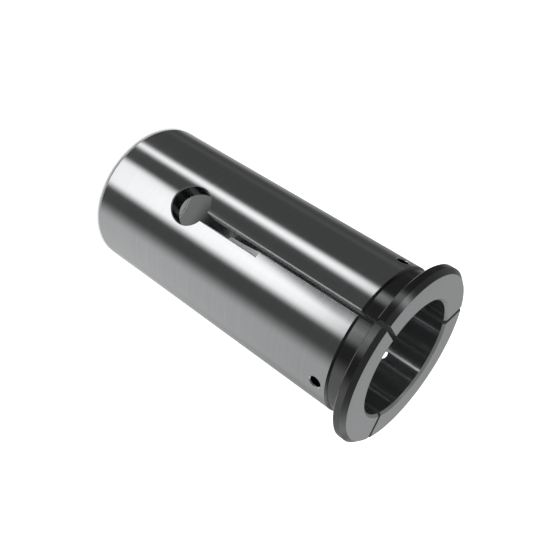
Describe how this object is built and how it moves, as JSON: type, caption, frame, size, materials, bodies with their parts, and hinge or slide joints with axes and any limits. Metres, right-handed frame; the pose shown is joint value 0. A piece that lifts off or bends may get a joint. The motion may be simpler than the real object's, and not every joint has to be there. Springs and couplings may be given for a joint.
{
  "type": "straight collet",
  "caption": "Straight slotted sleeve with a plain bore and a stop flange, squeezed in a milling chuck to grip a round tool shank.",
  "frame": {"origin": "centre of the rear end face, on which the sleeve stands", "axes": "+Z along the bore towards the flange; the first slit faces +X"},
  "size_m": [0.038, 0.038, 0.071],
  "materials": {
    "ground_steel": "hardened steel, ground bright outside and in the bore, turned neck and flange"
  },
  "bodies": {
    "root": {"collet": "ground_steel"}
  },
  "joints": []
}
